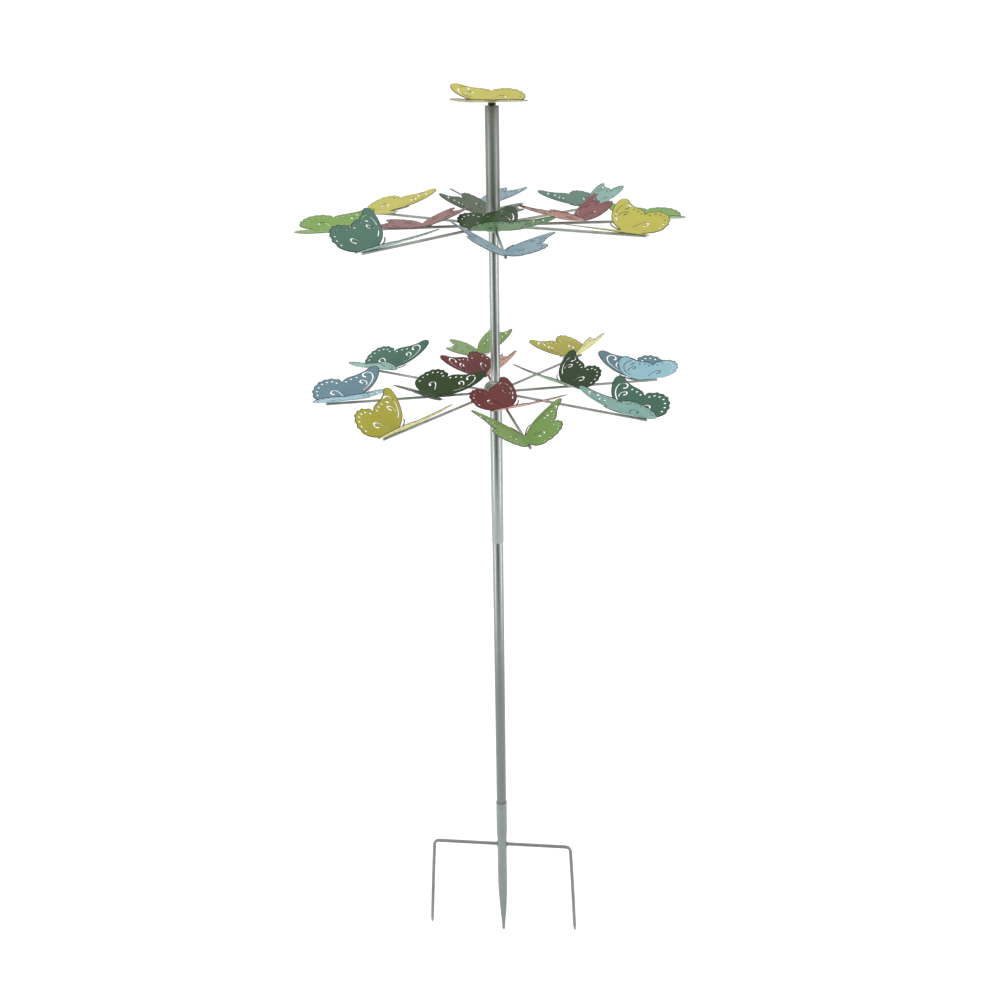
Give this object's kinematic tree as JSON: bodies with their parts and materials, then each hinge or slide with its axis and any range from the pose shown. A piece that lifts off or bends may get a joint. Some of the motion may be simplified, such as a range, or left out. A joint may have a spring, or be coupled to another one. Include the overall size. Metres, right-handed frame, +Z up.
{
  "type": "wind spinner",
  "caption": "Garden wind spinner on a forked stake: two wheels of spokes turn freely round the pole, each carrying folded sheet butterflies, with one more on top.",
  "frame": {"origin": "on the pole's axis at ground level, at the middle of the step fork's crossbar", "axes": "+Z up along the pole, X along the step fork's crossbar, so that its prongs lie in the XZ plane"},
  "size_m": [0.6997, 0.7085, 1.9006],
  "materials": {
    "pole_silver": "satin silver-grey tube, faint lengthwise drawing lines",
    "stake_grey": "matt silver-grey paint, rubbed at the points",
    "hub_grey": "satin silver-grey paint over a turned boss",
    "spoke_grey": "dull drawn wire",
    "blue_paint": "satin powder coat, paler underneath",
    "yellow_paint": "satin powder coat, paler underneath",
    "bright_green_paint": "satin powder coat, paler underneath",
    "teal_paint": "satin powder coat, paler underneath",
    "dark_green_paint": "satin powder coat, paler underneath",
    "dark_red_paint": "satin powder coat, paler underneath",
    "nylon": "moulded, slightly waxy",
    "brass": "turned, dulled by weather",
    "bright_steel": "ground and hardened",
    "dark_steel": "blackened nut with worn edges"
  },
  "bodies": {
    "stand": {"ground_stake": "stake_grey", "step_fork": "stake_grey", "pole_middle": "pole_silver", "pole_upper": "pole_silver", "shoulder_plug": "pole_silver", "thrust_washer": "brass", "spindle_tube": "pole_silver", "spindle_plug": "bright_steel", "pivot_pin": "bright_steel", "bearing_ball": "bright_steel"},
    "lower_wheel": {"lower_hub": "hub_grey", "lower_bushing": "nylon", "lower_spoke_1": "spoke_grey", "lower_outer_butterfly_1": "blue_paint", "lower_inner_butterfly_1": "dark_green_paint", "lower_spoke_2": "spoke_grey", "lower_outer_butterfly_2": "yellow_paint", "lower_spoke_3": "spoke_grey", "lower_outer_butterfly_3": "bright_green_paint", "lower_inner_butterfly_2": "dark_red_paint", "lower_spoke_4": "spoke_grey", "lower_outer_butterfly_4": "teal_paint", "lower_spoke_5": "spoke_grey", "lower_outer_butterfly_5": "blue_paint", "lower_inner_butterfly_3": "dark_green_paint", "lower_spoke_6": "spoke_grey", "lower_outer_butterfly_6": "yellow_paint", "lower_spoke_7": "spoke_grey", "lower_outer_butterfly_7": "bright_green_paint", "lower_inner_butterfly_4": "dark_red_paint", "lower_spoke_8": "spoke_grey", "lower_outer_butterfly_8": "teal_paint"},
    "upper_wheel": {"upper_hub": "hub_grey", "upper_bushing": "nylon", "upper_sleeve": "pole_silver", "sleeve_plug": "pole_silver", "finial_nut": "dark_steel", "finial_butterfly": "yellow_paint", "upper_spoke_1": "spoke_grey", "upper_outer_butterfly_1": "bright_green_paint", "upper_inner_butterfly_1": "dark_red_paint", "upper_spoke_2": "spoke_grey", "upper_outer_butterfly_2": "teal_paint", "upper_spoke_3": "spoke_grey", "upper_outer_butterfly_3": "blue_paint", "upper_inner_butterfly_2": "dark_green_paint", "upper_spoke_4": "spoke_grey", "upper_outer_butterfly_4": "yellow_paint", "upper_spoke_5": "spoke_grey", "upper_outer_butterfly_5": "bright_green_paint", "upper_inner_butterfly_3": "dark_red_paint", "upper_spoke_6": "spoke_grey", "upper_outer_butterfly_6": "teal_paint", "upper_spoke_7": "spoke_grey", "upper_outer_butterfly_7": "blue_paint", "upper_inner_butterfly_4": "dark_green_paint", "upper_spoke_8": "spoke_grey", "upper_outer_butterfly_8": "yellow_paint"}
  },
  "joints": [
    {"name": "lower_wheel_spin", "type": "hinge", "parent": "stand", "child": "lower_wheel", "pos_m": [0, 0, 1.092], "axis": [0, 0, 1], "continuous": true},
    {"name": "upper_wheel_spin", "type": "hinge", "parent": "stand", "child": "upper_wheel", "pos_m": [0, 0, 1.405], "axis": [0, 0, 1], "continuous": true}
  ]
}
